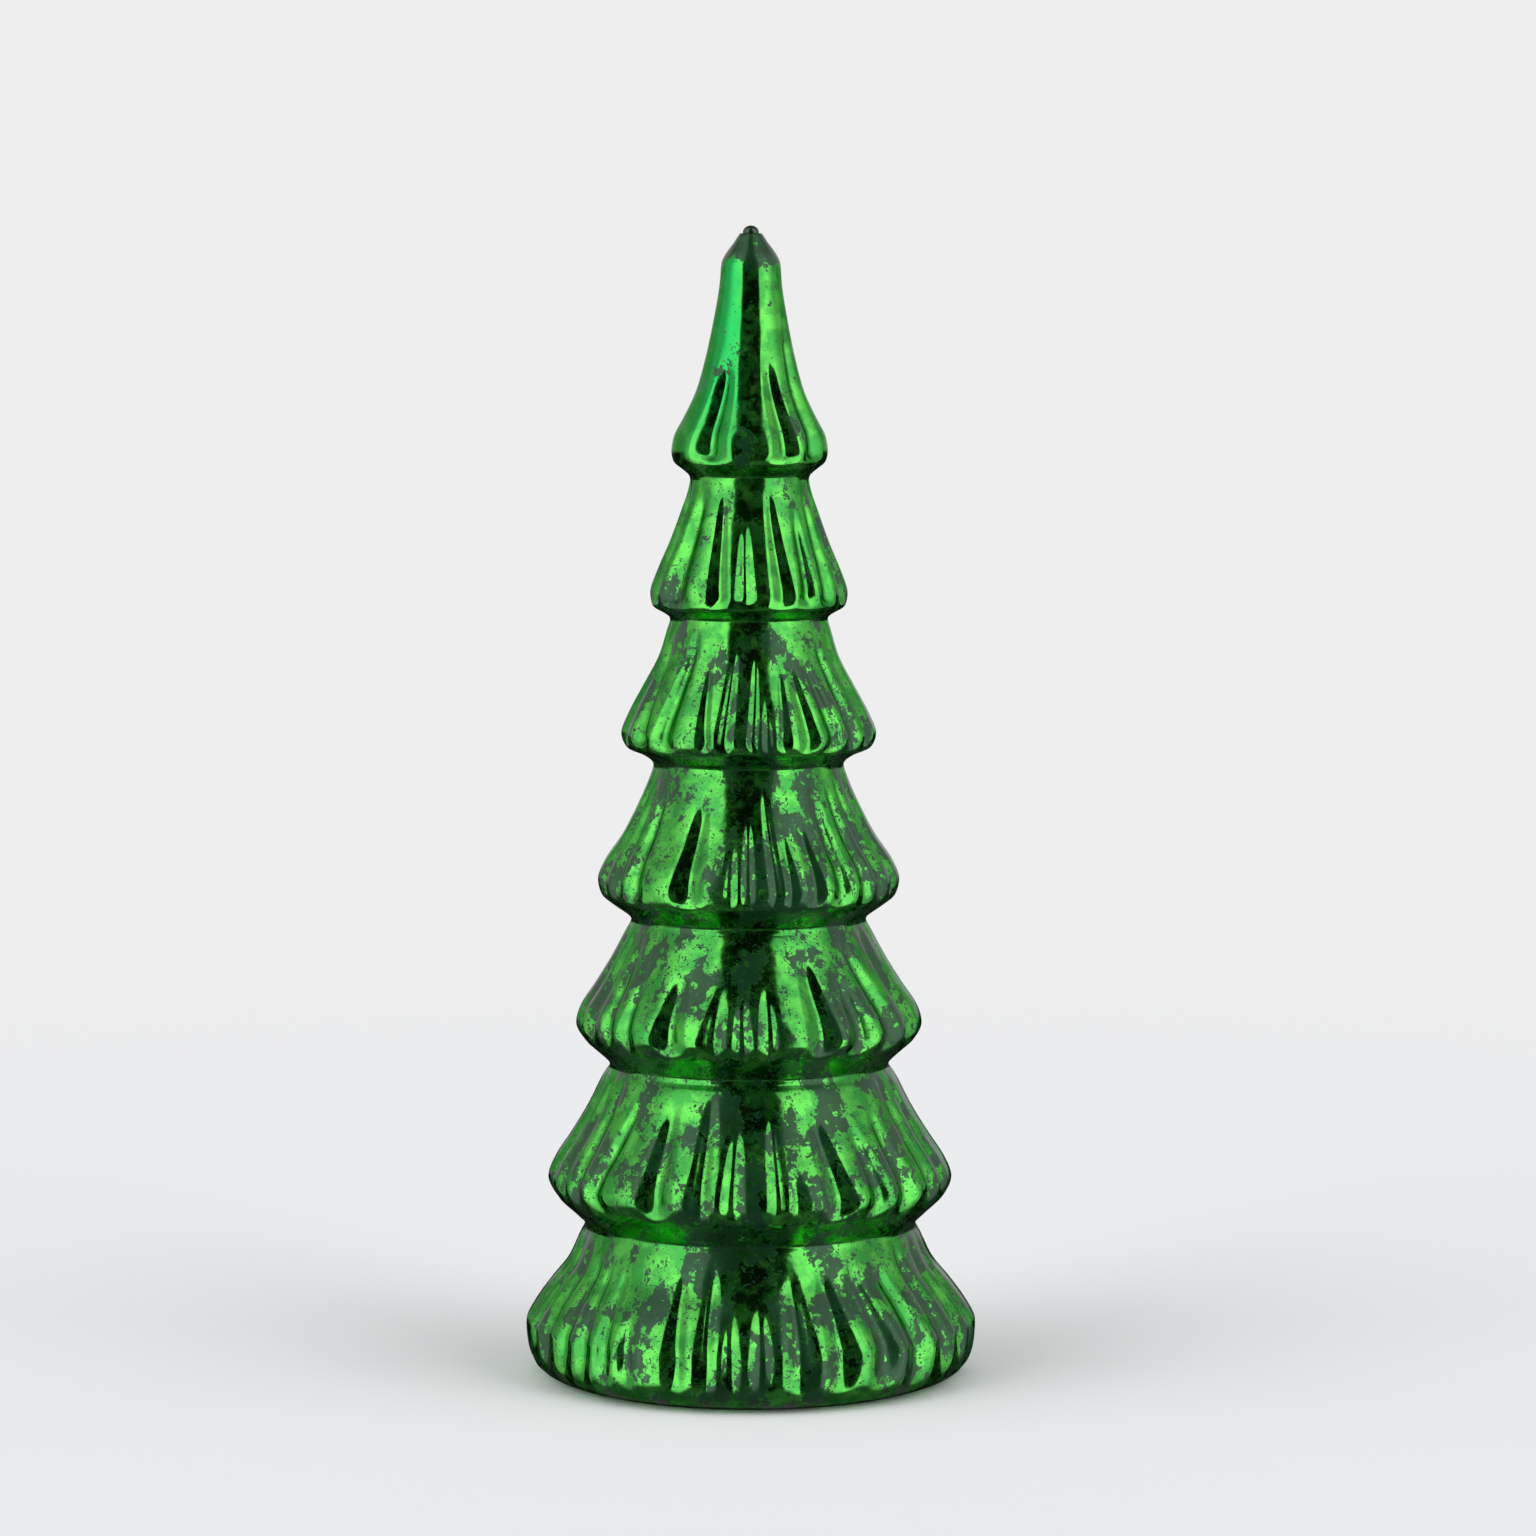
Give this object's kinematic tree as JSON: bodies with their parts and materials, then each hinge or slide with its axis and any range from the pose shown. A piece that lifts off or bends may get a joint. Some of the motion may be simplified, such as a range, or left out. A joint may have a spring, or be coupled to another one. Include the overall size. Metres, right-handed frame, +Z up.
{
  "type": "led christmas tree",
  "caption": "Tall tiered hollow glass tree with fluted flanks on a round battery base with a hinged door and a slide switch, and a light string wound round an inner mast.",
  "frame": {"origin": "centre of the glass foot ring, on the surface the tree stands on", "axes": "+Z up the tree's axis to the tip, -Y towards the pictured side, +X to its right"},
  "size_m": [0.1282, 0.1282, 0.3257],
  "materials": {
    "silvered_glass": "green glass silvered inside in patches",
    "plug_glass": "dark solid glass",
    "sealant": "clear silicone",
    "base_plastic": "black moulded",
    "door_plastic": "black moulded",
    "switch_plastic": "white moulded",
    "clear_plastic": "clear",
    "contact_steel": "nickel plated",
    "screw_steel": "dark zinc",
    "can_steel": "tinned",
    "cell_sleeve": "plain coloured sleeve",
    "board": "phenolic paper board",
    "chip_black": "moulded package",
    "capacitor_sleeve": "shrink sleeve",
    "copper_wire": "lacquered copper",
    "lamp_resin": "clear resin drop",
    "red_insulation": "satin",
    "black_insulation": "satin"
  },
  "bodies": {
    "tree": {"glass_shell": "silvered_glass", "tip_plug": "plug_glass", "seat_sealant": "sealant", "base_housing": "base_plastic", "housing_lid": "base_plastic", "lid_screw_1": "screw_steel", "lid_screw_2": "screw_steel", "lid_screw_3": "screw_steel", "cell_1": "cell_sleeve", "cell_2": "cell_sleeve", "cell_3": "cell_sleeve", "positive_terminal": "contact_steel", "bridge_contact_1": "contact_steel", "bridge_contact_2": "contact_steel", "negative_terminal": "contact_steel", "timer_board": "board", "timer_chip": "chip_black", "resistor": "chip_black", "capacitor": "capacitor_sleeve", "crystal": "can_steel", "board_screw_1": "screw_steel", "board_screw_2": "screw_steel", "switch_can": "can_steel", "light_mast": "clear_plastic", "mast_cap": "clear_plastic", "light_wire": "copper_wire", "led_1": "lamp_resin", "led_2": "lamp_resin", "led_3": "lamp_resin", "led_4": "lamp_resin", "led_5": "lamp_resin", "led_6": "lamp_resin", "led_7": "lamp_resin", "led_8": "lamp_resin", "led_9": "lamp_resin", "led_10": "lamp_resin", "lead_red": "red_insulation", "lead_black": "black_insulation"},
    "door": {"battery_door": "door_plastic"},
    "screw": {"door_screw": "screw_steel"},
    "slider": {"switch_slider": "switch_plastic"}
  },
  "joints": [
    {"name": "door_hinge", "type": "hinge", "parent": "tree", "child": "door", "pos_m": [0, -0.0325, 0.0022], "axis": [-1, 0, 0], "range_deg": [0, 60]},
    {"name": "door_screw_lift", "type": "slide", "parent": "door", "child": "screw", "axis": [0, 0, -1], "range_m": [0, 0.003]},
    {"name": "switch_slide", "type": "slide", "parent": "tree", "child": "slider", "axis": [0, 1, 0], "range_m": [-0.002, 0.002]}
  ]
}
